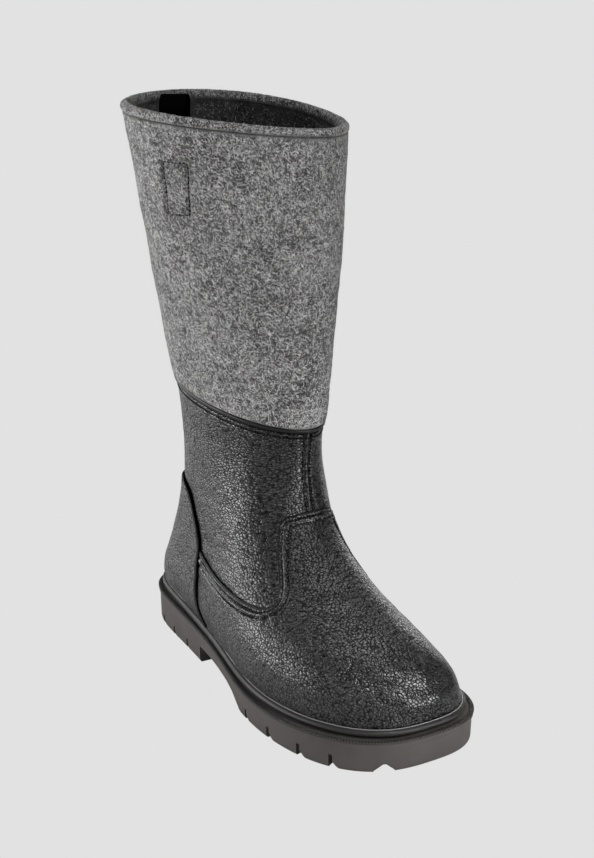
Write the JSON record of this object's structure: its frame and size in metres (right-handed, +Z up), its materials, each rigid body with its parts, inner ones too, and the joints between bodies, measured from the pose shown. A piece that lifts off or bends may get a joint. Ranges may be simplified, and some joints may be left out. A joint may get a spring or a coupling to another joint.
{
  "type": "felt boot",
  "caption": "Tall right winter boot: black pebbled leather foot, grey felt shaft with a rolled collar, webbing pull loop inside, dark rubber lugged sole with a raised bead.",
  "frame": {"origin": "on the floor under the middle of the heel", "axes": "+X towards the toe, +Y towards the wearer's left, the inner side of this right boot, +Z up"},
  "size_m": [0.3, 0.152, 0.3865],
  "materials": {
    "sole_rubber": "matte moulded",
    "rand_rubber": "satin",
    "insole_felt": "matte felt",
    "black_leather": "pebbled grain, satin",
    "grey_felt": "matte felt",
    "webbing": "woven"
  },
  "bodies": {
    "root": {"outsole": "sole_rubber", "rand": "rand_rubber", "insole": "insole_felt", "leather_upper": "black_leather", "vamp": "black_leather", "heel_counter": "black_leather", "top_band": "black_leather", "felt_shaft": "grey_felt", "collar_binding": "grey_felt", "pull_loop": "webbing"}
  },
  "joints": []
}
